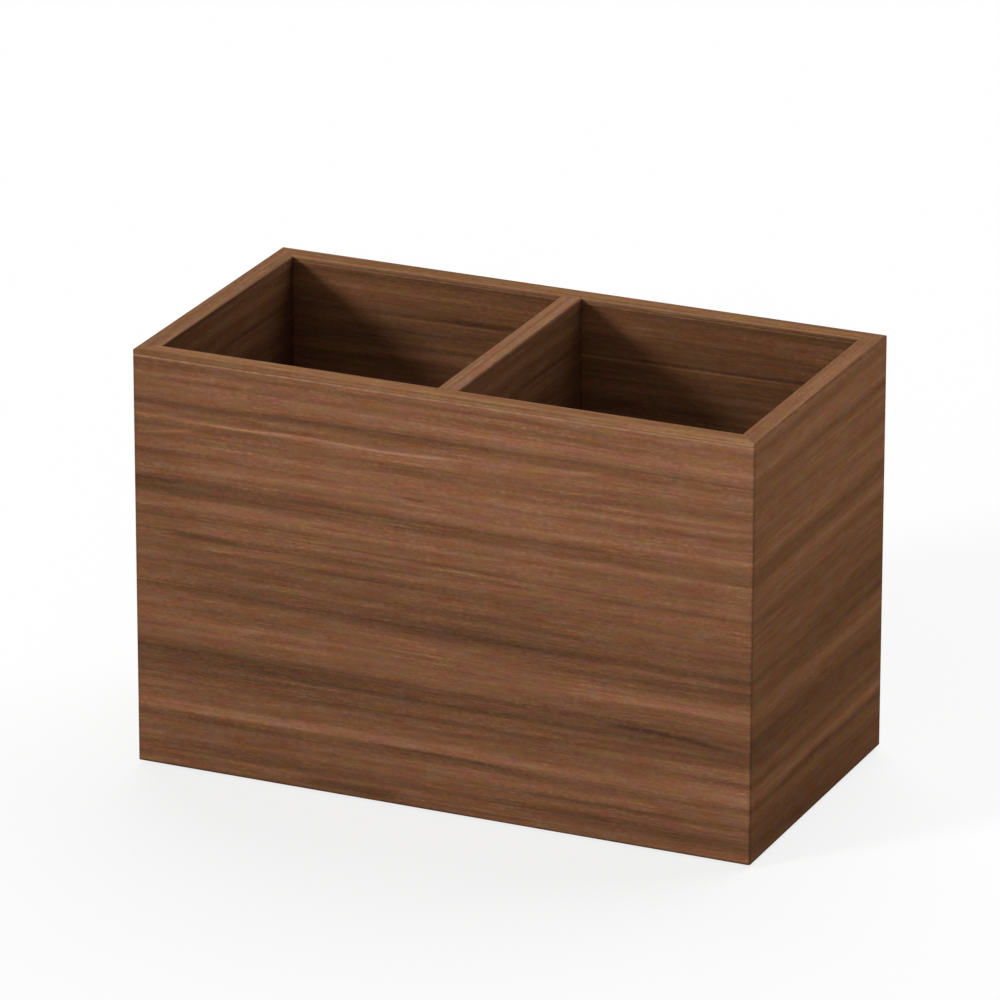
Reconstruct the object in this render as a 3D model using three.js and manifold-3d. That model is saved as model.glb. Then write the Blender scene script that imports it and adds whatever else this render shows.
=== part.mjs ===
// Pen holder with two compartments, made of thin board with a walnut veneer.
// Four mitred walls are folded inside one sheet of veneer. A divider stands in housings cut in the
// front and back walls, a base is let into a rebate round the bottom, strips of solid walnut cover
// the top edges of the boards, and the box stands on four felt pads.
// Millimetres, +Z up. The origin is on the table under the middle of the box, and -Y is the front.
import * as THREE from 'three';
import { mergeVertices } from 'three/addons/utils/BufferGeometryUtils.js';
import Module from 'manifold-3d';

const wasm = await Module();
wasm.setup();

// Driving dimensions
const boxWidth = 152;           // outside, left to right
const boxDepth = 79;            // outside, front to back
const boxHeight = 100;          // wood only, without the pads
const wallThickness = 5;        // finished, with both veneers
const dividerThickness = 5;     // finished, with both veneers
const dividerOffset = 0;        // of the divider's middle from the box's middle, towards the right
const baseThickness = 4;        // finished, with both veneers
const veneerThickness = 0.5;
const rimThickness = 1;         // strip of solid walnut on the top edges
const rimRounding = 0.35;       // eased long edges of the strips
const cornerRounding = 0.6;     // veneer folded round the upright corners

// Joints
const rebateDepth = 2.5;        // into the wall from its inner face, for the base
const baseClearance = 0.1;      // round the base, in the rebate
const housingDepth = 1.6;       // into the wall from its inner face, for the divider
const housingClearance = 0.05;  // on each side of the divider, and past its end
const seamGap = 0.1;            // between the two ends of the folded veneer

// Felt pads
const padDiameter = 10;
const padThickness = 1;
const padRounding = 0.3;
const padInset = 6;             // from the outside of the box to the pad's nearest edge

// Facets
const arcSteps = 4;
const padSteps = 48;

// Levels and places worked out from the sizes
const woodBottom = padThickness;
const floorLevel = woodBottom + baseThickness;
const woodTop = woodBottom + boxHeight;
const boardTop = woodTop - rimThickness;
const boardOuter = veneerThickness;
const boardInner = wallThickness - veneerThickness;
const innerDepth = boxDepth - 2 * wallThickness;
const dividerLeft = dividerOffset - dividerThickness / 2;
const dividerRight = dividerOffset + dividerThickness / 2;
const housingLeft = dividerLeft - housingClearance;
const housingRight = dividerRight + housingClearance;
const dividerReach = innerDepth / 2 + housingDepth - housingClearance;

// Finishes
const veneerFinish = { color: 0x7a5339, roughness: 0.55, metalness: 0 };
const rimFinish = { color: 0x8a6141, roughness: 0.5, metalness: 0 };
const boardFinish = { color: 0x9a7a58, roughness: 0.85, metalness: 0 };
const feltFinish = { color: 0x2f2a27, roughness: 0.95, metalness: 0 };

// The four sides, anticlockwise seen from above. Each runs along its own direction, looks inwards
// along its own normal, and lies half of the box's span away from the middle.
const sides = {
  front: { along: [1, 0], inward: [0, 1], span: boxWidth, away: boxDepth / 2 },
  right: { along: [0, 1], inward: [-1, 0], span: boxDepth, away: boxWidth / 2 },
  back: { along: [-1, 0], inward: [0, -1], span: boxWidth, away: boxDepth / 2 },
  left: { along: [0, -1], inward: [1, 0], span: boxDepth, away: boxWidth / 2 },
};

const penHolder = new THREE.Group();

function addPiece(name, geometry, finish, position = [0, 0, 0]) {
  const mesh = new THREE.Mesh(geometry, new THREE.MeshStandardMaterial(finish));
  mesh.name = name;
  mesh.position.set(...position);
  penHolder.add(mesh);
  return mesh;
}

// A solid for cutting, from a closed geometry.
function toSolid(geometry) {
  const bare = geometry.clone();
  bare.deleteAttribute('normal');
  bare.deleteAttribute('uv');
  const merged = mergeVertices(bare);
  const mesh = new wasm.Mesh({
    numProp: 3,
    vertProperties: new Float32Array(merged.attributes.position.array),
    triVerts: new Uint32Array(merged.index.array),
  });
  mesh.merge();
  return new wasm.Manifold(mesh);
}

function toGeometry(solid) {
  const mesh = solid.getMesh();
  const geometry = new THREE.BufferGeometry();
  geometry.setAttribute('position', new THREE.BufferAttribute(mesh.vertProperties, 3));
  geometry.setIndex(new THREE.BufferAttribute(mesh.triVerts, 1));
  geometry.computeVertexNormals();
  return geometry;
}

const cutAway = (geometry, cutter) => toGeometry(toSolid(geometry).subtract(toSolid(cutter)));
const keepWithin = (geometry, keeper) => toGeometry(toSolid(geometry).intersect(toSolid(keeper)));

// A block from its limits along each axis.
function block([left, right], [front, back], [bottom, top]) {
  const geometry = new THREE.BoxGeometry(right - left, back - front, top - bottom);
  return geometry.translate((left + right) / 2, (front + back) / 2, (bottom + top) / 2);
}

// Where a piece of a side starts or stops: on the mitre, which moves in with the inset, or square
// across the side at a fixed place.
const mitreStart = (side) => (inset) => inset - side.span / 2;
const mitreEnd = (side) => (inset) => side.span / 2 - inset;
const squareAt = (place) => () => place;

// Runs a section along a side. The section's x is the inset from the outside of the box and its y
// is the height.
function runAlong(side, section, start = mitreStart(side), end = mitreEnd(side)) {
  const settings = { depth: 1, bevelEnabled: false, curveSegments: arcSteps };
  const geometry = new THREE.ExtrudeGeometry(section, settings);
  const { position } = geometry.attributes;
  for (let i = 0; i < position.count; i += 1) {
    const inset = position.getX(i);
    const place = position.getZ(i) > 0 ? end(inset) : start(inset);
    const offset = inset - side.away;
    const x = place * side.along[0] + offset * side.inward[0];
    const y = place * side.along[1] + offset * side.inward[1];
    position.setXYZ(i, x, y, position.getY(i));
  }
  geometry.computeVertexNormals();
  return geometry;
}

function rectangle(left, right, bottom, top) {
  const corners = [[left, bottom], [right, bottom], [right, top], [left, top]];
  return new THREE.Shape(corners.map(([x, y]) => new THREE.Vector2(x, y)));
}

// Section of a wall's board, with the rebate that takes the base cut out of its lower inner edge.
function boardSection() {
  const rebateFrom = wallThickness - rebateDepth;
  const section = new THREE.Shape();
  section.moveTo(boardOuter, woodBottom);
  section.lineTo(rebateFrom, woodBottom);
  section.lineTo(rebateFrom, floorLevel);
  section.lineTo(boardInner, floorLevel);
  section.lineTo(boardInner, boardTop);
  section.lineTo(boardOuter, boardTop);
  section.closePath();
  return section;
}

// Section of a rim strip: flat underneath, with both of its upper edges eased.
function rimSection(outer, inner) {
  const section = new THREE.Shape();
  section.moveTo(outer, boardTop);
  section.lineTo(inner, boardTop);
  section.absarc(inner - rimRounding, woodTop - rimRounding, rimRounding, 0, Math.PI / 2, false);
  section.absarc(outer + rimRounding, woodTop - rimRounding, rimRounding, Math.PI / 2, Math.PI, false);
  section.closePath();
  return section;
}

// Outline of the box seen from above, with its folded corners.
function boxOutline() {
  const x = boxWidth / 2 - cornerRounding;
  const y = boxDepth / 2 - cornerRounding;
  const quarter = Math.PI / 2;
  const outline = new THREE.Shape();
  outline.absarc(x, y, cornerRounding, 0, quarter, false);
  outline.absarc(-x, y, cornerRounding, quarter, 2 * quarter, false);
  outline.absarc(-x, -y, cornerRounding, 2 * quarter, 3 * quarter, false);
  outline.absarc(x, -y, cornerRounding, 3 * quarter, 4 * quarter, false);
  outline.closePath();
  return outline;
}

function raise(outline, bottom, top) {
  const settings = { depth: top - bottom, bevelEnabled: false, curveSegments: arcSteps };
  return new THREE.ExtrudeGeometry(outline, settings).translate(0, 0, bottom);
}

// Boards of the four walls. The front and back ones have a housing for the divider, open at the
// top, where the rim strip closes it.
function makeWalls() {
  const section = boardSection();
  const bottomOfHousing = floorLevel;
  const housingFrom = innerDepth / 2 - wallThickness;
  const housingTo = innerDepth / 2 + housingDepth;
  const across = [housingLeft, housingRight];
  const height = [bottomOfHousing, woodTop];
  const housings = {
    front: block(across, [-housingTo, -housingFrom], height),
    back: block(across, [housingFrom, housingTo], height),
  };
  for (const [name, side] of Object.entries(sides)) {
    const board = runAlong(side, section);
    const housing = housings[name];
    addPiece(`${name}_wall`, housing ? cutAway(board, housing) : board, boardFinish);
  }
}

// One sheet of veneer round the outside. Its two ends meet on the back left corner.
function makeOuterVeneer() {
  const outline = boxOutline();
  const x = boxWidth / 2 - veneerThickness;
  const y = boxDepth / 2 - veneerThickness;
  outline.holes.push(rectangle(-x, x, -y, y));
  const sheet = raise(outline, woodBottom, boardTop);
  const seam = new THREE.BoxGeometry(4 * veneerThickness, seamGap, 2 * boxHeight);
  seam.rotateZ(-Math.PI / 4);
  seam.translate(-boxWidth / 2, boxDepth / 2, boxHeight);
  addPiece('outer_veneer', cutAway(sheet, seam), veneerFinish);
}

// Veneer on the inner faces of the walls, from the floor to the rim strips. The housings part the
// front and back sheets in two.
function makeLinings() {
  const section = rectangle(boardInner, wallThickness, floorLevel, boardTop);
  const { front, right, back, left } = sides;
  const linings = {
    lining_front_left: [front, mitreStart(front), squareAt(housingLeft)],
    lining_front_right: [front, squareAt(housingRight), mitreEnd(front)],
    lining_right: [right, mitreStart(right), mitreEnd(right)],
    lining_back_right: [back, mitreStart(back), squareAt(-housingRight)],
    lining_back_left: [back, squareAt(-housingLeft), mitreEnd(back)],
    lining_left: [left, mitreStart(left), mitreEnd(left)],
  };
  for (const [name, [side, start, end]] of Object.entries(linings)) {
    addPiece(name, runAlong(side, section, start, end), veneerFinish);
  }
}

function makeDivider() {
  const depth = [-dividerReach, dividerReach];
  const height = [floorLevel, boardTop];
  const boardLeft = dividerLeft + veneerThickness;
  const boardRight = dividerRight - veneerThickness;
  addPiece('divider_board', block([boardLeft, boardRight], depth, height), boardFinish);
  addPiece('divider_veneer_left', block([dividerLeft, boardLeft], depth, height), veneerFinish);
  addPiece('divider_veneer_right', block([boardRight, dividerRight], depth, height), veneerFinish);
}

// Base board with a veneer on each side, let into the rebate of the four walls.
function makeBase() {
  const reach = wallThickness - rebateDepth + baseClearance;
  const x = boxWidth / 2 - reach;
  const y = boxDepth / 2 - reach;
  const boardBottom = woodBottom + veneerThickness;
  const boardUpper = floorLevel - veneerThickness;
  const layer = (bottom, top) => block([-x, x], [-y, y], [bottom, top]);
  addPiece('base_board', layer(boardBottom, boardUpper), boardFinish);
  addPiece('floor_veneer', layer(boardUpper, floorLevel), veneerFinish);
  addPiece('underside_veneer', layer(woodBottom, boardBottom), veneerFinish);
}

// Strips of solid walnut on the top edges. The outer four are mitred together and follow the folded
// corners; the divider's strip butts between the front and back ones.
function makeRims() {
  const section = rimSection(0, wallThickness);
  const corners = raise(boxOutline(), boardTop - rimThickness, woodTop + rimThickness);
  for (const [name, side] of Object.entries(sides)) {
    addPiece(`rim_${name}`, keepWithin(runAlong(side, section), corners), rimFinish);
  }
  const dividerSection = rimSection(-dividerThickness / 2, dividerThickness / 2);
  const settings = { depth: innerDepth, bevelEnabled: false, curveSegments: arcSteps };
  const strip = new THREE.ExtrudeGeometry(dividerSection, settings);
  strip.rotateX(Math.PI / 2);
  addPiece('rim_divider', strip, rimFinish, [dividerOffset, innerDepth / 2, 0]);
}

// Felt pads under the four corners of the base.
function makePads() {
  const radius = padDiameter / 2;
  const profile = [new THREE.Vector2(0, 0)];
  for (let i = 0; i <= arcSteps; i += 1) {
    const angle = (i / arcSteps) * (Math.PI / 2);
    const x = radius - padRounding + padRounding * Math.sin(angle);
    const y = padRounding - padRounding * Math.cos(angle);
    profile.push(new THREE.Vector2(x, y));
  }
  profile.push(new THREE.Vector2(radius, padThickness), new THREE.Vector2(0, padThickness));
  const x = boxWidth / 2 - padInset - radius;
  const y = boxDepth / 2 - padInset - radius;
  const places = {
    pad_front_left: [-x, -y, 0],
    pad_front_right: [x, -y, 0],
    pad_back_left: [-x, y, 0],
    pad_back_right: [x, y, 0],
  };
  for (const [name, place] of Object.entries(places)) {
    const pad = addPiece(name, new THREE.LatheGeometry(profile, padSteps), feltFinish, place);
    pad.rotation.x = Math.PI / 2;
  }
}

makeWalls();
makeOuterVeneer();
makeLinings();
makeDivider();
makeBase();
makeRims();
makePads();

export default penHolder;
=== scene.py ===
# A pen holder in walnut veneer: a mitred box with a divider, on a pale floor in soft light.
import math

import bmesh
import bpy
from mathutils import Matrix, Vector


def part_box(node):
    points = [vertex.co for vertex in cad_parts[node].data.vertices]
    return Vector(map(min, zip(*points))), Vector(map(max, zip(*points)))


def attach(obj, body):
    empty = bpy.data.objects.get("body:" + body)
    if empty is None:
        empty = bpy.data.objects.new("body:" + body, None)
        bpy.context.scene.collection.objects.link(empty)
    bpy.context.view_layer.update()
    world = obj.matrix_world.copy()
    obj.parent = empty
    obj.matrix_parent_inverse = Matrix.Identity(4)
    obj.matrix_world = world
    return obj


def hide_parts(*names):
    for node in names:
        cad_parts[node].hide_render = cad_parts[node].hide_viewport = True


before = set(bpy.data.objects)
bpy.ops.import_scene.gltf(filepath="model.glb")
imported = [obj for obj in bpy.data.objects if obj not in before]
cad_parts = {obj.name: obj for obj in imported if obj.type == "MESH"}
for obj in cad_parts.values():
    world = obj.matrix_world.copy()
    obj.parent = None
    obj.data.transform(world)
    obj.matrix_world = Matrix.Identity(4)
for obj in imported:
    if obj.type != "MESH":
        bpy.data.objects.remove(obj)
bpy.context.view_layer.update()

MM = 0.001
BODY = "root"

# Sizes of the box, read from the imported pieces
sheet_low, sheet_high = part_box("outer_veneer")
rim_low, rim_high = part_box("rim_front")
lining_low, lining_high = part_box("lining_right")
WIDTH = sheet_high.x - sheet_low.x
DEPTH = sheet_high.y - sheet_low.y
WOOD_BOTTOM = sheet_low.z
RIM_BOTTOM = rim_low.z
RIM_TOP = rim_high.z
WALL = rim_high.y - rim_low.y
VENEER = lining_high.x - lining_low.x

# Small roundings that a sheet or a strip has from its cutter, its fold or the sanding block
FOLD_RADIUS = 0.6 * MM
FOLD_STEPS = 6
RIM_ROUNDING = 0.35 * MM
RIM_ROUNDING_STEPS = 5
JOINT_ARRIS = 0.07 * MM
JOINT_ARRIS_STEPS = 2

# The four sides. Each is drawn lying along X with its outer face at y = 0 and its inside towards
# +Y, and is then turned and moved to its place. sheet_start is where the outer sheet starts on
# it, counted along the sheet from the front left corner.
SIDES = {
    "front": {"turn": 0, "place": (0, -DEPTH / 2), "span": WIDTH, "sheet_start": 0},
    "right": {"turn": 90, "place": (WIDTH / 2, 0), "span": DEPTH, "sheet_start": WIDTH},
    "back": {"turn": 180, "place": (0, DEPTH / 2), "span": WIDTH, "sheet_start": WIDTH + DEPTH},
    "left": {"turn": -90, "place": (-WIDTH / 2, 0), "span": DEPTH, "sheet_start": -DEPTH},
}


# Places of the outputs that are used, on the nodes that have several
OBJECT_PLACE = 3
BACKFACING = 6
CAMERA_RAY = 0
GLOSSY_RAY = 3
TRANSMISSION_RAY = 6
MIXED_COLOUR = 2

# Places of the two colours that a Mix node takes
FIRST_COLOUR = 6
SECOND_COLOUR = 7


class Wire:
    """A number on its way through a material. Arithmetic on it adds Math nodes."""

    def __init__(self, finish, socket):
        self.finish = finish
        self.socket = socket

    def __add__(self, other):
        return self.finish.sum("ADD", self, other)

    def __sub__(self, other):
        return self.finish.sum("SUBTRACT", self, other)

    def __rsub__(self, other):
        return self.finish.sum("SUBTRACT", other, self)

    def __mul__(self, other):
        return self.finish.sum("MULTIPLY", self, other)

    def __truediv__(self, other):
        return self.finish.sum("DIVIDE", self, other)

    __radd__ = __add__
    __rmul__ = __mul__

    def clamped(self):
        return self.finish.sum("ADD", self, 0, clamp=True)


class Finish:
    """A material being put together, or the look of the world where its tree is given."""

    def __init__(self, name, tree=None):
        if tree is None:
            self.material = bpy.data.materials.new(name)
            self.material.use_nodes = True
            tree = self.material.node_tree
        self.tree = tree
        self.tree.nodes.clear()

    def node(self, kind, settings=None, values=None, output=0):
        """Adds a node, sets it up, fills its sockets and returns one of its outputs."""
        made = self.tree.nodes.new("ShaderNode" + kind)
        for key, value in (settings or {}).items():
            if key == "stops":
                self.set_stops(made.color_ramp, value)
            else:
                setattr(made, key, value)
        for key, value in (values or {}).items():
            if isinstance(value, Wire):
                self.tree.links.new(value.socket, made.inputs[key])
            else:
                made.inputs[key].default_value = value
        return Wire(self, made.outputs[output]) if len(made.outputs) else None

    def set_stops(self, ramp, stops):
        """Gives a colour ramp its places and colours."""
        while len(ramp.elements) < len(stops):
            ramp.elements.new(1)
        for element, (place, colour) in zip(ramp.elements, stops):
            element.position = place
            element.color = (*colour, 1)

    def sum(self, operation, first, second, clamp=False):
        """One step of arithmetic."""
        settings = {"operation": operation, "use_clamp": clamp}
        return self.node("Math", settings, {0: first, 1: second})

    def split(self, vector):
        """The three numbers of a vector, in millimetres."""
        parts = [self.node("SeparateXYZ", None, {0: vector}, i) for i in range(3)]
        return [part / MM for part in parts]

    def object_place(self):
        """Place in the object, in millimetres: x, y and z."""
        return self.split(self.node("TexCoord", None, None, OBJECT_PLACE))

    def sheet_place(self):
        """Place along the sheet and across it, in millimetres, from the piece's own map."""
        along, across, _ = self.split(self.node("UVMap", {"uv_map": "grain"}))
        return along, across

    def noise(self, along, across, length, width, seed, detail, roughness=0.5):
        """Uneven streaks of about that length and width, from 0 to 1."""
        place = self.node("CombineXYZ", None, {0: along / length, 1: across / width, 2: seed})
        values = {"Vector": place, "Scale": 1.0, "Detail": detail, "Roughness": roughness}
        return self.node("TexNoise", {"noise_dimensions": "3D"}, values)

    def step(self, value, start, end):
        """0 below start and 1 past end, with a smooth rise between them."""
        values = {"Value": value, "From Min": start, "From Max": end}
        return self.node("MapRange", {"interpolation_type": "SMOOTHSTEP"}, values)

    def hump(self, value, centre, reach):
        """1 at the centre, falling smoothly to 0 at the reach on both sides."""
        offset = (value - centre) / reach
        rest = (1 - offset * offset).clamped()
        return rest * rest

    def mix(self, factor, first, second, mode="MIX"):
        """Two colours mixed, or multiplied."""
        settings = {"data_type": "RGBA", "blend_type": mode}
        values = {0: factor}
        for key, colour in ((FIRST_COLOUR, first), (SECOND_COLOUR, second)):
            values[key] = colour if isinstance(colour, Wire) else (*colour, 1)
        return self.node("Mix", settings, values, MIXED_COLOUR)

    def finish(self, colour, roughness, relief, depth, **constants):
        """Ends in a Principled shader. Relief goes from 0 to 1, and depth is its size."""
        bump = {"Height": relief, "Distance": depth, "Strength": 1.0}
        normal = self.node("Bump", None, bump)
        values = {"Base Color": colour, "Roughness": roughness, "Normal": normal, **constants}
        shader = self.node("BsdfPrincipled", None, values)
        self.node("OutputMaterial", None, {"Surface": shader})
        return self.material

    def wood_finish(self, colour, roughness, relief):
        """The end of every walnut: matt, with a fine relief."""
        gloss = {"Specular IOR Level": WOOD_GLOSS}
        return self.finish(colour, roughness, relief, WOOD_DEPTH, **gloss)


# Figure of the outer veneer, for the long faces of the box. On the short ones it is squeezed.
# Places are in millimetres from the left end and above the bottom edge, and a shade is a step
# in tone, darker below 0.
FACE = WIDTH / MM
SHEET_HEIGHT = (RIM_BOTTOM - WOOD_BOTTOM) / MM
LONG_BANDS = [
    # Height, half width, shade at the left end, shade at the right end
    (84.0, 36.0, -0.02, 0.085),
    (20.0, 26.0, -0.04, -0.02),
    (97.4, 1.5, -0.09, -0.04),
    (92.4, 2.3, 0.03, 0.08),
    (88.7, 1.9, -0.11, -0.14),
    (81.2, 2.0, -0.04, -0.14),
    (78.0, 1.6, 0.06, 0.02),
    (72.6, 2.4, 0.04, 0.05),
    (68.2, 2.9, -0.18, -0.19),
    (64.9, 2.0, 0.03, 0.11),
    (61.8, 1.8, 0.0, -0.05),
    (55.5, 5.5, -0.07, -0.06),
    (45.0, 9.0, -0.08, -0.14),
    (47.6, 1.3, -0.02, -0.04),
    (43.4, 1.5, -0.06, -0.07),
    (40.2, 1.6, -0.01, -0.15),
    (35.9, 3.0, 0.03, 0.07),
    (31.4, 2.0, -0.06, -0.02),
    (28.1, 3.0, -0.19, -0.09),
    (25.0, 8.0, -0.10, -0.08),
    (15.3, 1.7, 0.15, 0.23),
    (12.6, 1.6, -0.08, -0.05),
    (5.0, 7.0, -0.08, -0.07),
]
SHORT_STREAKS = [
    # Start, end, height at the start, rise to the end, half width, shade
    (12, 96, 84.6, 0.9, 0.5, 0.25),
    (-2, 18, 80.6, 3.2, 0.7, 0.14),
    (84, 120, 85.6, 2.4, 0.9, 0.15),
    (52, 82, 81.8, 0.2, 1.6, -0.08),
    (-30, 22, 76.0, -14.0, 20.0, -0.08),
    (34, 118, 78.0, 0.0, 24.0, 0.055),
    (6, 29, 57.0, -0.4, 1.0, -0.19),
    (12, 46, 54.6, 2.2, 0.9, 0.12),
    (38, 74, 53.4, 0.3, 1.2, -0.09),
    (52, 118, 55.6, 2.6, 1.1, 0.11),
    (30, 64, 45.2, 0.4, 1.0, 0.12),
    (-40, 84, 28.7, -0.3, 0.9, -0.06),
    (112, 151, 28.0, -1.8, 1.0, -0.24),
    (56, 97, 13.5, -0.2, 0.6, -0.24),
    (104, 158, 21.0, 0.0, 1.6, 0.09),
    (38, 70, 1.9, 0.0, 1.6, -0.25),
    (66, 79, 73.4, -0.4, 0.5, 0.18),
    (66.5, 73, 74.7, 0.0, 0.5, -0.24),
    (30, 130, 60.2, -1.8, 0.4, -0.13),
    (68, 112, 58.9, -1.4, 0.5, 0.10),
    (96, 158, 34.2, 0.4, 1.1, 0.08),
    (98, 156, 46.0, 0.0, 4.0, -0.05),
    (40, 118, 62.0, 0.0, 4.0, 0.035),
    (-14, 16, 94.0, 0.0, 4.5, -0.04),
    (44, 118, 94.0, 0.0, 4.0, 0.03),
]
# Figure of the linings, which are calmer, in the same terms. The streaks up to FACE are those of
# the back lining. Those past it run from the front to the back, on the side linings and the
# divider. The bands at 94, 83.5 and 70 mm and the streaks of 2.4 mm half width and more are no
# figure but painted shade and painted light, which darken some depths of the compartments and
# lighten others.
LINING_BANDS_AND_PAINTED_LIGHT = [
    (94.0, 3.0, 0.04, 0.05),
    (83.5, 4.0, -0.09, -0.03),
    (70.0, 9.0, 0.05, 0.05),
    (57.0, 5.0, -0.05, -0.06),
    (40.0, 7.0, -0.08, -0.06),
    (22.0, 5.0, 0.06, 0.04),
]
LINING_STREAKS_AND_PAINTED_LIGHT = [
    (16, 84, 88.4, 0.8, 0.5, 0.17),
    (40, 80, 89.6, 0.8, 0.9, -0.14),
    (58, 142, 86.1, 0.5, 0.45, 0.26),
    (68, 158, 86.9, 0.5, 0.6, -0.15),
    (100, 140, 92.5, -0.6, 0.9, -0.10),
    (10, 60, 81.5, 0.5, 1.2, -0.10),
    (84, 150, 79.0, -0.5, 1.1, -0.10),
    (16, 68, 86.5, 0.0, 4.5, -0.15),
    (92, 150, 88.4, 0.0, 2.4, -0.13),
    (68, 98, 94.0, 0.0, 4.5, 0.10),
    (70, 99, 84.0, 0.0, 2.4, -0.15),
    (70, 124, 76.0, 0.0, 3.5, -0.11),
    (186, 222, 88.3, -0.7, 0.55, 0.16),
    (186, 226, 89.3, -0.7, 0.7, -0.09),
    (206, 240, 84.0, 0.0, 12.0, 0.05),
    (190, 224, 96.6, 0.0, 3.5, -0.04),
]


# How far a streak reaches from its middle, as a share of its length, and how fully it shows
STREAK_REACH = 0.56
STREAK_FULLNESS = 1.6


def figure(finish, place, height, bands, streaks, streak_share=1.0):
    """Shade of the veneer's bands and streaks at a place along a face and a height."""
    share = (place / FACE).clamped()
    shade = 0
    for level, reach, left, right in bands:
        shade = finish.hump(height, level, reach) * (share * (right - left) + left) + shade
    marks = 0
    for start, end, level, rise, reach, depth in streaks:
        progress = (place - start) / (end - start)
        bowed = height - (progress * progress * rise + level)
        ends = (finish.hump(progress, 0.5, STREAK_REACH) * STREAK_FULLNESS).clamped()
        marks = finish.hump(bowed, 0, reach) * ends * depth + marks
    return marks * streak_share + shade


# Colours of walnut by tone, the tone that it has on the whole, and the tints that patches of
# it lean to
WALNUT = [
    (0.00, (0.045, 0.0215, 0.0118)),
    (0.25, (0.113, 0.0525, 0.0275)),
    (0.40, (0.155, 0.0686, 0.0346)),
    (0.50, (0.190, 0.0838, 0.0420)),
    (0.62, (0.235, 0.1040, 0.0532)),
    (0.80, (0.306, 0.1390, 0.0762)),
    (1.00, (0.392, 0.1800, 0.1010)),
]
TONE = 0.53
PATCH_TINTS = {
    "reddish_or_olive": ((1.0, 0.58, 0.68), (1.0, 1.42, 1.32)),
    "warm_or_cool": ((1.0, 1.0, 0.42), (1.0, 1.0, 1.58)),
}
WOOD_GLOSS = 0.0
WOOD_DEPTH = 0.03 * MM

# Layers of the grain: length and width of a mark in millimetres, step from the wood's seed,
# detail and roughness
GRAIN_LAYERS = {
    "drift": (75, 22, 0, 1.0, 0.5),
    "waver": (16, 5, 1, 1.0, 0.5),
    "stripe": (110, 3.0, 2, 1.0, 0.7),
    "fibre": (13, 1.1, 3, 2.0, 0.8),
    "fleck": (1.3, 0.42, 4, 1.0, 0.6),
    "pore": (3.2, 0.16, 5, 0.0, 0.5),
    "reddish_or_olive": (8, 2.4, 6, 3.0, 0.7),
    "warm_or_cool": (8, 2.4, 7, 3.0, 0.7),
    "busy": (22, 7, 8, 1.0, 0.5),
    "line": (100, 0.9, 9, 1.0, 0.9),
    "mottle": (2.4, 1.5, 10, 2.0, 0.8),
}

# How far drift and waver push the grain aside, in millimetres
DRIFT_REACH = 1.6
WAVER_REACH = 0.5

# Share of each layer in the tone, in the relief and in the roughness, and the level of the
# last two
STRIPE_TONE = 0.60
MOTTLE_TONE = 0.17
FIBRE_TONE = 0.36
FLECK_TONE = 0.34
LINE_TONE = 0.29
PORE_TONE = -0.05
FIBRE_RELIEF = 0.5
FLECK_RELIEF = 0.3
PORE_RELIEF = -0.6
RELIEF_LEVEL = 0.6
STRIPE_ROUGHNESS = 0.10
PORE_ROUGHNESS = 0.12
WOOD_ROUGHNESS = 0.60

# Where the noise opens into a pore, how much the fine grain comes and goes, and how much its
# pale marks outdo its dark ones
PORE_START = 0.64
PORE_END = 0.8
BUSY_RANGE = 1.8
PALE_LEAN = 2.0


def grain_layer(finish, name, along, across, seed):
    """One layer of the grain, from 0 to 1."""
    length, width, seed_step, detail, roughness = GRAIN_LAYERS[name]
    return finish.noise(along, across, length, width, seed + seed_step, detail, roughness)


def walnut(finish, along, height, shade, seed, contrast, tint):
    """Colour, relief and roughness of walnut whose grain runs along, in millimetres."""
    drift = grain_layer(finish, "drift", along, height, seed) - 0.5
    waver = grain_layer(finish, "waver", along, height, seed) - 0.5
    across = drift * DRIFT_REACH + waver * WAVER_REACH + height
    stripe = grain_layer(finish, "stripe", along, across, seed) - 0.5
    line = grain_layer(finish, "line", along, across, seed) - 0.5
    fibre = grain_layer(finish, "fibre", along, across, seed) - 0.5
    fleck = grain_layer(finish, "fleck", along, across, seed) - 0.5
    pores = finish.step(grain_layer(finish, "pore", along, across, seed), PORE_START, PORE_END)
    mottle = grain_layer(finish, "mottle", along, across, seed) - 0.5
    busy = (grain_layer(finish, "busy", along, across, seed) - 0.5) * BUSY_RANGE + 1
    fine = (fibre * FIBRE_TONE + fleck * FLECK_TONE + line * LINE_TONE) * busy
    fine = fine * (fine * PALE_LEAN + 1)
    tone = (stripe * STRIPE_TONE + mottle * MOTTLE_TONE + fine) * contrast + shade + TONE
    tone = tone + pores * PORE_TONE
    colour = finish.node("ValToRGB", {"stops": WALNUT}, {0: tone.clamped()})
    for name, tints in PATCH_TINTS.items():
        patch = grain_layer(finish, name, along, across, seed)
        colour = finish.mix(1.0, colour, finish.mix(patch, *tints), "MULTIPLY")
    colour = finish.mix(1.0, colour, tint, "MULTIPLY")
    relief = pores * PORE_RELIEF + fibre * FIBRE_RELIEF + fleck * FLECK_RELIEF + RELIEF_LEVEL
    roughness = pores * PORE_ROUGHNESS + stripe * STRIPE_ROUGHNESS + WOOD_ROUGHNESS
    return colour, relief, roughness


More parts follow.
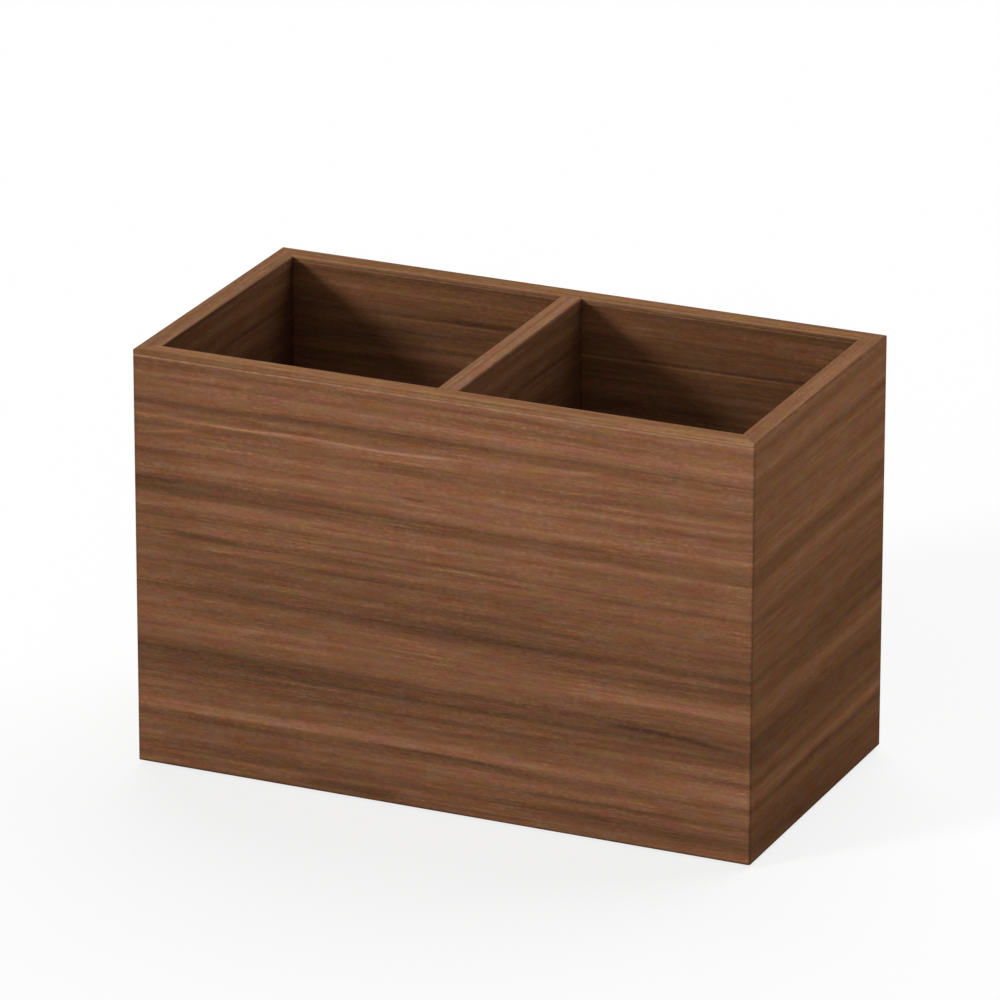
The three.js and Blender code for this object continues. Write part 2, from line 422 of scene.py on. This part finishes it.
# Where the veneer's upper edge was sanded flush with the rim strip: a thin pale line, partly the
# sanded edge and partly a painted highlight where that edge catches the light. It shows less on
# the short faces and on what lies across the box. The breaks in it come from a noise, whose
# length, width, seed and detail are listed below.
SANDED_HIGHLIGHT = (0.43, 0.235, 0.145)
SANDED_HIGHLIGHT_BELOW_TOP = 0.12
SANDED_HIGHLIGHT_BREAKS = (2.6, 9, 5.2, 2.0)
BREAK_START = 0.36
BREAK_END = 0.68
BREAK_SHARE = 0.45
SHORT_SANDED_HIGHLIGHT_SHARE = 0.2
OUTER_SANDED_HIGHLIGHT_REACH = 0.55
OUTER_SANDED_HIGHLIGHT_STRENGTH = 0.85
LINING_SANDED_HIGHLIGHT_REACH = 0.4
LINING_SANDED_HIGHLIGHT_STRENGTH = 0.45


def sanded_highlight_line(finish, along, height, reach, strength):
    """How much of the sanded line and its painted highlight shows, from 0 to 1."""
    breaks = finish.step(finish.noise(along, height, *SANDED_HIGHLIGHT_BREAKS), BREAK_START, BREAK_END)
    unbroken = breaks * BREAK_SHARE + BREAK_SHARE
    return finish.hump(height, SHEET_HEIGHT - SANDED_HIGHLIGHT_BELOW_TOP, reach) * unbroken * strength


# The short faces of the box are calmer than the long ones. Painted shade makes them darker
# towards the bottom and, high up, towards the right, with a little painted light over the whole
# face.
# LEAN_PIVOT is the height where that turns, as a share.
OUTER_SEED = 11.0
OUTER_TINT = (1.0, 1.01, 1.0)
SHORT_FACE_CONTRAST = 0.58
SHORT_FACE_FIGURE = 0.86
SHORT_FACE_STREAKS = 0.4
SHORT_FACE_PAINTED_FALL = 0.12
SHORT_FACE_PAINTED_LIGHT = 0.015
SHORT_FACE_PAINTED_LEAN = -0.13
LEAN_PIVOT = 0.3
SHORT_FACE_TINT = (1.0, 1.03, 0.965)
FACE_BLEND = 0.01

# How the bands of the outer veneer wander: length, width, seed and detail of the noise, and its
# reach in millimetres
WANDER = (30, 8, 3.7, 1.0)
WANDER_REACH = 1.6

# Painted shade: darker lines along the folds, where the rounded corner turns from the light, and
# a painted shadow along the bottom edge, where the box meets the floor. Places and reaches are
# in millimetres.
FOLD_PAINTED_SHADE = -0.09
FOLD_PLACE = 0.3
FOLD_REACH = 0.8
FOOT_PAINTED_SHADOW = -0.38
FOOT_REACH = 0.6


def toward(share, value):
    """1 where the share is 0, and the value where it is 1."""
    return 1 - share * (1 - value)


def outer_veneer():
    """The sheet round the box. Its figure starts anew, squeezed, on the short faces."""
    finish = Finish("walnut_veneer")
    along, height = finish.sheet_place()
    two_faces = (WIDTH + DEPTH) / MM
    folded = finish.sum("FLOORED_MODULO", along, two_faces)
    short = finish.step(folded, FACE - FACE_BLEND, FACE + FACE_BLEND)
    place = (folded - FACE) * (WIDTH / DEPTH) * short + folded * (1 - short)
    wander = (finish.noise(along, height, *WANDER) - 0.5) * WANDER_REACH
    streak_share = toward(short, SHORT_FACE_STREAKS)
    bands = figure(finish, place, height + wander, LONG_BANDS, SHORT_STREAKS, streak_share)
    # Painted shade on the short faces: darker towards the bottom and, high up, towards the right
    level = height / SHEET_HEIGHT
    painted_lean = (place / FACE - 0.5) * (level - LEAN_PIVOT) * SHORT_FACE_PAINTED_LEAN
    rise = ((level - 0.5) * SHORT_FACE_PAINTED_FALL + painted_lean + SHORT_FACE_PAINTED_LIGHT) * short
    # Painted shade along the folds and painted shadow along the bottom edge
    from_fold = folded - short * FACE
    edges = finish.hump(from_fold, FOLD_PLACE, FOLD_REACH) * FOLD_PAINTED_SHADE
    edges = finish.hump(height, 0, FOOT_REACH) * FOOT_PAINTED_SHADOW + edges
    shade = bands * toward(short, SHORT_FACE_FIGURE) + rise + edges
    contrast = toward(short, SHORT_FACE_CONTRAST)
    tint = finish.mix(short, OUTER_TINT, SHORT_FACE_TINT)
    colour, relief, roughness = walnut(
        finish, along, height, shade, OUTER_SEED, contrast, tint)
    # Painted highlight: the pale sanded line under the rim, fainter on the short faces
    line = sanded_highlight_line(finish, along, height, OUTER_SANDED_HIGHLIGHT_REACH, OUTER_SANDED_HIGHLIGHT_STRENGTH)
    line = line * toward(short, SHORT_SANDED_HIGHLIGHT_SHARE)
    colour = finish.mix(line, colour, SANDED_HIGHLIGHT)
    return finish.wood_finish(colour, roughness, relief)


# The linings are a darker, less blue copy of the outer walnut, darker still towards the bottom:
# painted shade of the compartments
LINING_SEED = 71.0
LINING_CONTRAST = 0.95
LINING_PAINTED_SHADE = -0.115
LINING_PAINTED_FALL = 0.08
LINING_SHADOW_TINT = (1.0, 0.985, 0.90)


def lining_veneer():
    """The sheets inside the box and on the divider, with painted shade, darker towards the
    bottom.
    """
    finish = Finish("walnut_lining")
    along, height = finish.sheet_place()
    painted_fall = (height / SHEET_HEIGHT - 1) * LINING_PAINTED_FALL
    shade = figure(finish, along, height, LINING_BANDS_AND_PAINTED_LIGHT, LINING_STREAKS_AND_PAINTED_LIGHT) + painted_fall + LINING_PAINTED_SHADE
    colour, relief, roughness = walnut(
        finish, along, height, shade, LINING_SEED, LINING_CONTRAST, LINING_SHADOW_TINT)
    across_box = finish.step(along, FACE, FACE + 1)
    # Painted highlight: the pale sanded line under the rim, fainter on what lies across the box
    line = sanded_highlight_line(finish, along, height, LINING_SANDED_HIGHLIGHT_REACH, LINING_SANDED_HIGHLIGHT_STRENGTH)
    line = line * toward(across_box, SHORT_SANDED_HIGHLIGHT_SHARE)
    colour = finish.mix(line, colour, SANDED_HIGHLIGHT)
    return finish.wood_finish(colour, roughness, relief)


# Each rim strip is a length of solid walnut of its own: its shade, how dark its joint and the
# painted shadow under it are, and its tint. Its joint is a dark glue line with a painted shadow
# below the strip. Its inner arris has a painted highlight and its outer one a little painted
# shade, less where the joint is darker. The reaches are in millimetres.
RIM_STRIPS = {
    "front": (0.15, 0.38, (1.0, 1.07, 0.95)),
    "right": (0.07, 0.15, (1.0, 1.07, 1.04)),
    "back": (0.09, 0.35, (1.0, 1.08, 0.95)),
    "left": (0.05, 0.15, (1.0, 1.09, 1.08)),
    "divider": (0.14, 0.15, (1.0, 1.08, 1.07)),
}
RIM_SEED = 31.0
JOINT_AND_SHADE_COLOUR = (0.03, 0.014, 0.007)
JOINT_REACH = 0.35
INNER_ARRIS_REACH = 0.55
INNER_ARRIS_HIGHLIGHT_SHARE = 0.35
OUTER_ARRIS_PLACE = 0.1
OUTER_ARRIS_REACH = 0.4
OUTER_ARRIS_SHADE_SHARE = 0.3
OUTER_ARRIS_JOINT_LOSS = 0.4


def walnut_rim(name, base_shade, joint_and_shadow_depth, tint):
    """The walnut of one rim strip, with its joint and painted shadow, and its arrises with a
    painted highlight and painted shade.
    """
    finish = Finish("walnut_rim_" + name)
    along, across = finish.sheet_place()
    colour, relief, roughness = walnut(finish, along, across, base_shade, RIM_SEED, 1.0, tint)
    _, _, z = finish.object_place()
    # Painted shadow with the dark glue line along the joint, a painted highlight on the inner
    # arris and painted shade on the outer one
    joint_line_and_shadow = finish.hump(z, RIM_BOTTOM / MM, JOINT_REACH) * joint_and_shadow_depth
    inner_arris_highlight = finish.hump(across, WALL / MM, INNER_ARRIS_REACH) * INNER_ARRIS_HIGHLIGHT_SHARE
    outer_shade_share = OUTER_ARRIS_SHADE_SHARE - joint_and_shadow_depth * OUTER_ARRIS_JOINT_LOSS
    outer_arris_shade = finish.hump(across, OUTER_ARRIS_PLACE, OUTER_ARRIS_REACH) * outer_shade_share
    colour = finish.mix(inner_arris_highlight, colour, SANDED_HIGHLIGHT)
    colour = finish.mix(joint_line_and_shadow + outer_arris_shade, colour, JOINT_AND_SHADE_COLOUR)
    return finish.wood_finish(colour, roughness, relief)


FLOOR_SEED = 51.0


def walnut_floor():
    """The floor of the compartments and the underside, where no map is laid, with the linings'
    painted shade.
    """
    finish = Finish("walnut_floor")
    x, y, _ = finish.object_place()
    colour, relief, roughness = walnut(finish, x, y, LINING_PAINTED_SHADE, FLOOR_SEED, 1.0, LINING_SHADOW_TINT)
    return finish.wood_finish(colour, roughness, relief)


# Board and felt: length, width, seed, detail and roughness of the noise, share of its first
# kind in the pattern, colours by tone, roughness and its range, and depth of the relief
BOARD_CHIPS = (0.5, 0.35, 5.0, 3.0, 0.7)
BOARD_CLOUD = (9, 6, 9.0, 2.0)
BOARD_CHIP_SHARE = 0.7
BOARD_COLOURS = [
    (0.30, (0.12, 0.07, 0.035)),
    (0.50, (0.25, 0.16, 0.09)),
    (0.75, (0.40, 0.28, 0.17)),
]
BOARD_ROUGHNESS = 0.8
BOARD_ROUGHNESS_RANGE = 0.1
BOARD_DEPTH = 0.06 * MM
FELT_FUZZ = (0.22, 0.16, 2.0, 4.0, 0.75)
FELT_LUMPS = (1.6, 1.3, 7.0, 2.0)
FELT_FUZZ_SHARE = 0.7
FELT_COLOURS = [
    (0.3, (0.012, 0.010, 0.009)),
    (0.7, (0.060, 0.052, 0.046)),
]
FELT_FUZZ_RELIEF = 0.6
FELT_ROUGHNESS = 0.9
FELT_ROUGHNESS_RANGE = 0.08
FELT_DEPTH = 0.12 * MM
FELT_SHEEN = 0.3


def pressed_board():
    """The board under the veneer: chips, with cloudy patches."""
    finish = Finish("pressed_board")
    x, y, z = finish.object_place()
    chips = finish.noise(x + z, y - z, *BOARD_CHIPS)
    cloud = finish.noise(x + z, y - z, *BOARD_CLOUD)
    tone = chips * BOARD_CHIP_SHARE + cloud * (1 - BOARD_CHIP_SHARE)
    colour = finish.node("ValToRGB", {"stops": BOARD_COLOURS}, {0: tone})
    roughness = chips * BOARD_ROUGHNESS_RANGE + BOARD_ROUGHNESS
    return finish.finish(colour, roughness, chips, BOARD_DEPTH)


def pressed_felt():
    """The pads: fine fuzz on soft lumps."""
    finish = Finish("pressed_felt")
    x, y, z = finish.object_place()
    fuzz = finish.noise(x + z, y - z, *FELT_FUZZ)
    lumps = finish.noise(x - z, y + z, *FELT_LUMPS)
    tone = fuzz * FELT_FUZZ_SHARE + lumps * (1 - FELT_FUZZ_SHARE)
    colour = finish.node("ValToRGB", {"stops": FELT_COLOURS}, {0: tone})
    relief = fuzz * FELT_FUZZ_RELIEF + lumps * (1 - FELT_FUZZ_RELIEF)
    roughness = fuzz * FELT_ROUGHNESS_RANGE + FELT_ROUGHNESS
    sheen = {"Sheen Weight": FELT_SHEEN}
    return finish.finish(colour, roughness, relief, FELT_DEPTH, **sheen)


# Limits for the meshes: how near a plane a vertex counts as on it, the least cosines at which
# an edge counts as lying along an axis and a face as level, and the turn below which the faces
# on both sides of an edge are shaded as one
CUT_TOLERANCE = 1e-7
ALONG_AXIS = 0.999
LEVEL = 0.9
SMOOTH_BELOW = math.radians(50)


def block(low, high):
    """A block between two corners."""
    bm = bmesh.new()
    size = [top - bottom for bottom, top in zip(low, high)]
    middle = [(top + bottom) / 2 for bottom, top in zip(low, high)]
    bmesh.ops.create_cube(bm, size=1)
    bmesh.ops.scale(bm, vec=size, verts=bm.verts)
    bmesh.ops.translate(bm, vec=middle, verts=bm.verts)
    return bm


def ease(bm, edges, radius, steps):
    """Rounds edges."""
    bmesh.ops.bevel(bm, geom=list(edges), offset=radius, segments=steps, profile=0.5,
                    affect="EDGES", material=-1, clamp_overlap=True)


def cut(bm, point, normal):
    """Takes off what lies beyond a plane and closes the cut."""
    geometry = bm.verts[:] + bm.edges[:] + bm.faces[:]
    made = bmesh.ops.bisect_plane(bm, geom=geometry, dist=CUT_TOLERANCE, plane_co=point,
                                  plane_no=normal, clear_outer=True)
    edges = [item for item in made["geom_cut"] if isinstance(item, bmesh.types.BMEdge)]
    bmesh.ops.contextual_create(bm, geom=edges)


def runs_along(edge, axis):
    """Whether an edge lies along one axis: 0 for X, 1 for Y, 2 for Z."""
    step = edge.verts[1].co - edge.verts[0].co
    return abs(step[axis]) > ALONG_AXIS * step.length


def lay_grain(bm, along, height):
    """Gives each corner of each face its place on the sheet, in metres."""
    layer = bm.loops.layers.uv.new("grain")
    for face in bm.faces:
        for loop in face.loops:
            point = loop.vert.co
            loop[layer].uv = (along(point, face), height(point, face))


def finish_piece(bm, name, material, replaced):
    """Makes an object of a mesh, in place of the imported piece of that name."""
    bmesh.ops.recalc_face_normals(bm, faces=bm.faces)
    mesh = bpy.data.meshes.new(name)
    bm.to_mesh(mesh)
    bm.free()
    mesh.materials.append(material)
    mesh.shade_smooth()
    piece = bpy.data.objects.new(name, mesh)
    bpy.context.scene.collection.objects.link(piece)
    mesh.set_sharp_from_angle(angle=SMOOTH_BELOW)
    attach(piece, BODY)
    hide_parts(replaced)


def to_side(bm, side):
    """Moves what was drawn along X to its side of the box."""
    turn = Matrix.Rotation(math.radians(side["turn"]), 4, "Z")
    place = Matrix.Translation((*side["place"], 0))
    bmesh.ops.transform(bm, matrix=place @ turn, verts=bm.verts)


def mitre(bm, side, end):
    """Cuts one end at 45 degrees through the box's corner: -1 for the start, 1 for the end."""
    corner = Vector((end * side["span"] / 2, 0, 0))
    cut(bm, corner, Vector((end, 1, 0)).normalized())


def round_tip(bm, side, end):
    """Follows the folded corner, up to the mitre, with one cut for each flat of the fold."""
    centre = Vector((end * (side["span"] / 2 - FOLD_RADIUS), FOLD_RADIUS, 0))
    flat_turn = math.pi / 2 / FOLD_STEPS
    flat_distance = FOLD_RADIUS * math.cos(flat_turn / 2)
    for i in range(FOLD_STEPS // 2):
        angle = (i + 0.5) * flat_turn
        outward = Vector((end * math.sin(angle), -math.cos(angle), 0))
        cut(bm, centre + outward * flat_distance, outward)


def make_outer_veneer(material):
    """One sheet folded round the box, drawn closed where its ends meet."""
    bm = block(sheet_low, sheet_high)
    ease(bm, [e for e in bm.edges if runs_along(e, 2)], FOLD_RADIUS, FOLD_STEPS)
    caps = [f for f in bm.faces if abs(f.normal.z) > LEVEL]
    bmesh.ops.delete(bm, geom=caps, context="FACES_ONLY")
    bmesh.ops.recalc_face_normals(bm, faces=bm.faces)
    bmesh.ops.solidify(bm, geom=bm.faces[:], thickness=VENEER)
    bmesh.ops.recalc_face_normals(bm, faces=bm.faces)

    def side_of(face):
        centre = face.calc_center_median()
        reach_x = abs(centre.x) - WIDTH / 2
        reach_y = abs(centre.y) - DEPTH / 2
        if reach_x > reach_y:
            return SIDES["right"] if centre.x > 0 else SIDES["left"]
        return SIDES["back"] if centre.y > 0 else SIDES["front"]

    def along(point, face):
        side = side_of(face)
        direction = Matrix.Rotation(math.radians(side["turn"]), 3, "Z") @ Vector((1, 0, 0))
        return side["sheet_start"] + side["span"] / 2 + point.dot(direction)

    lay_grain(bm, along, lambda point, face: point.z - WOOD_BOTTOM)
    finish_piece(bm, "veneer_round_the_box", material, "outer_veneer")


def make_linings(material):
    """Veneer on the inner faces of the walls."""
    names = {
        "lining_front_left": ("front", -1),
        "lining_front_right": ("front", 1),
        "lining_right": ("right", 0),
        "lining_back_right": ("back", -1),
        "lining_back_left": ("back", 1),
        "lining_left": ("left", 0),
    }
    for name, (side_name, end) in names.items():
        side = SIDES[side_name]
        low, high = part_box(name)
        half = side["span"] / 2
        square = min(abs(low.x), abs(high.x))
        start = square if end > 0 else -half
        stop = -square if end < 0 else half
        bm = block((start, WALL - VENEER, low.z), (stop, WALL, high.z))
        for tip in (-1, 1):
            if end in (0, tip):
                mitre(bm, side, tip)
        ease(bm, [e for e in bm.edges if runs_along(e, 0)], JOINT_ARRIS, JOINT_ARRIS_STEPS)
        facing = -1 if side_name in ("back", "left") else 1
        first = WIDTH if side_name in ("left", "right") else 0
        lay_grain(bm, lambda point, face: first + half + facing * point.x,
                  lambda point, face: point.z - WOOD_BOTTOM)
        to_side(bm, side)
        finish_piece(bm, name + "_sheet", material, name)


def make_divider_sheets(material):
    """Veneer on both sides of the divider, with its grain from the front to the back."""
    for name in ("divider_veneer_left", "divider_veneer_right"):
        bm = block(*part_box(name))
        ease(bm, [e for e in bm.edges if runs_along(e, 1)], JOINT_ARRIS, JOINT_ARRIS_STEPS)
        lay_grain(bm, lambda point, face: WIDTH + DEPTH / 2 + point.y,
                  lambda point, face: point.z - WOOD_BOTTOM)
        finish_piece(bm, name + "_sheet", material, name)


def rim_block(span, low_y, high_y):
    """A strip along X with eased long edges, rounder above than below."""
    bm = block((-span / 2, low_y, RIM_BOTTOM), (span / 2, high_y, RIM_TOP))
    middle = (RIM_BOTTOM + RIM_TOP) / 2
    long_edges = [e for e in bm.edges if runs_along(e, 0)]
    upper = [e for e in long_edges if e.verts[0].co.z > middle]
    lower = [e for e in long_edges if e.verts[0].co.z < middle]
    ease(bm, lower, JOINT_ARRIS, JOINT_ARRIS_STEPS)
    ease(bm, [e for e in upper if e.is_valid], RIM_ROUNDING, RIM_ROUNDING_STEPS)
    return bm


# Where the grain of each rim strip starts, so that no two strips show the same length of wood
RIM_GRAIN_STRIDE = 3
DIVIDER_GRAIN_START = 7 * DEPTH


def lay_rim_grain(bm, start):
    """Grain along the strip, and across its top and down its inner face."""
    lay_grain(bm, lambda point, face: start + point.x,
              lambda point, face: point.y + RIM_TOP - point.z)


def make_rims():
    """Strips of solid walnut on the top edges, mitred at the corners."""
    for name, side in SIDES.items():
        material = walnut_rim(name, *RIM_STRIPS[name])
        bm = rim_block(side["span"], 0, WALL)
        for tip in (-1, 1):
            mitre(bm, side, tip)
            round_tip(bm, side, tip)
        lay_rim_grain(bm, RIM_GRAIN_STRIDE * side["sheet_start"])
        to_side(bm, side)
        finish_piece(bm, f"rim_{name}_strip", material, f"rim_{name}")
    material = walnut_rim("divider", *RIM_STRIPS["divider"])
    low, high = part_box("rim_divider")
    bm = rim_block(high.y - low.y, -WALL / 2, WALL / 2)
    lay_rim_grain(bm, DIVIDER_GRAIN_START)
    turn = Matrix.Rotation(math.radians(90), 4, "Z")
    place = Matrix.Translation(((low.x + high.x) / 2, (low.y + high.y) / 2, 0))
    bmesh.ops.transform(bm, matrix=place @ turn, verts=bm.verts)
    finish_piece(bm, "rim_divider_strip", material, "rim_divider")


def dress_packed_pieces():
    """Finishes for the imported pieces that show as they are."""
    board = pressed_board()
    floor = walnut_floor()
    felt = pressed_felt()
    finishes = {"floor_veneer": floor, "underside_veneer": floor}
    for name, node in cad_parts.items():
        if name.startswith("pad_"):
            finishes[name] = felt
        elif name.endswith("_wall") or name.endswith("_board"):
            finishes[name] = board
        if name in finishes:
            node.data.materials.clear()
            node.data.materials.append(finishes[name])


# Camera, as fitted to the corners and rims in the photograph
CAMERA_AZIMUTH = 24.06
CAMERA_ELEVATION = 20.52
CAMERA_ROLL = 0.062
CAMERA_DISTANCE = 1869 * MM
CAMERA_SIDEWAYS = -2.4 * MM
CAMERA_UPWARDS = 11.1 * MM
CAMERA_NEAR = 0.1
CAMERA_FAR = 50
LENS = 294.5
SENSOR = 36.0


def make_camera():
    """The photograph's view of the box."""
    azimuth, elevation = math.radians(CAMERA_AZIMUTH), math.radians(CAMERA_ELEVATION)
    back = Vector((math.sin(azimuth) * math.cos(elevation),
                   -math.cos(azimuth) * math.cos(elevation),
                   math.sin(elevation)))
    turn = back.to_track_quat("Z", "Y").to_matrix() @ Matrix.Rotation(
        math.radians(CAMERA_ROLL), 3, "Z")
    middle = Vector((0, 0, (WOOD_BOTTOM + RIM_TOP) / 2))
    place = middle + back * CAMERA_DISTANCE
    place += turn @ Vector((CAMERA_SIDEWAYS, CAMERA_UPWARDS, 0))
    data = bpy.data.cameras.new("camera")
    data.lens = LENS
    data.sensor_width = SENSOR
    data.clip_start = CAMERA_NEAR
    data.clip_end = CAMERA_FAR
    camera = bpy.data.objects.new("camera", data)
    camera.matrix_world = Matrix.Translation(place) @ turn.to_4x4()
    bpy.context.scene.collection.objects.link(camera)
    bpy.context.scene.camera = camera


# Lamps: a key from the left that draws the shadows in the compartments, and three wide ones.
# Each has the direction from the box to it, its power and its width in degrees.
LAMPS = {
    "key": ((-0.643, -0.766, 0.377), 1.78, 12),
    "soft_front": ((0, -0.894, 0.447), 0.88, 90),
    "soft_back": ((0, 0.819, 0.573), 3.15, 90),
    "soft_right": ((0.36, 0.1, 0.93), 0.24, 60),
}


def make_lamp(name, source, power, spread):
    """A distant lamp."""
    data = bpy.data.lights.new(name, "SUN")
    data.energy = power
    data.angle = math.radians(spread)
    lamp = bpy.data.objects.new(name, data)
    lamp.location = source
    lamp.rotation_mode = "QUATERNION"
    lamp.rotation_quaternion = Vector(source).to_track_quat("Z", "Y")
    bpy.context.scene.collection.objects.link(lamp)


def make_lamps():
    """The key lamp and the soft ones."""
    for name, (source, power, spread) in LAMPS.items():
        make_lamp(name, source, power, spread)


def seen(finish):
    """1 for rays that show a thing and 0 for those that carry its light to other things."""
    straight = finish.node("LightPath", None, None, CAMERA_RAY)
    mirrored = finish.node("LightPath", None, None, GLOSSY_RAY)
    through_glass = finish.node("LightPath", None, None, TRANSMISSION_RAY)
    return (straight + mirrored + through_glass).clamped()


def make_world():
    """White to look at and dark otherwise, so that only the lamps light the box."""
    world = bpy.data.worlds.new("studio")
    bpy.context.scene.world = world
    world.use_nodes = True
    finish = Finish("studio", world.node_tree)
    background = finish.node("Background", None, {"Color": seen(finish), "Strength": 1.0})
    finish.node("OutputWorld", None, {"Surface": background})


# To look at, the floor is white, apart from this share of its own shading, which keeps the
# box's shadow. Its light on the box is that of a pale floor. Its reach is from its middle to
# its edge, in metres.
FLOOR_SHADING = 0.22
FLOOR_LIGHT = 0.8
FLOOR_REACH = 6


def make_floor():
    """A pale floor that can't be seen from below."""
    finish = Finish("pale_floor")
    look = seen(finish)
    diffuse = finish.node("BsdfDiffuse", None, {"Color": look * (1 - FLOOR_LIGHT) + FLOOR_LIGHT})
    white = finish.node("Emission", None, {"Color": (1, 1, 1, 1), "Strength": 1.0})
    above = finish.node("MixShader", None, {0: look * (1 - FLOOR_SHADING), 1: diffuse, 2: white})
    clear = finish.node("BsdfTransparent")
    below = finish.node("NewGeometry", None, None, BACKFACING)
    floor_look = finish.node("MixShader", None, {0: below, 1: above, 2: clear})
    finish.node("OutputMaterial", None, {"Surface": floor_look})
    bm = bmesh.new()
    bmesh.ops.create_grid(bm, x_segments=1, y_segments=1, size=FLOOR_REACH)
    mesh = bpy.data.meshes.new("floor")
    bm.to_mesh(mesh)
    bm.free()
    mesh.materials.append(finish.material)
    floor = bpy.data.objects.new("floor", mesh)
    bpy.context.scene.collection.objects.link(floor)


def make_pen_holder():
    """All pieces of the box."""
    lining = lining_veneer()
    make_outer_veneer(outer_veneer())
    make_linings(lining)
    make_divider_sheets(lining)
    make_rims()
    dress_packed_pieces()


make_camera()
make_world()
make_lamps()
make_floor()
make_pen_holder()
bpy.context.scene.view_settings.view_transform = "Standard"
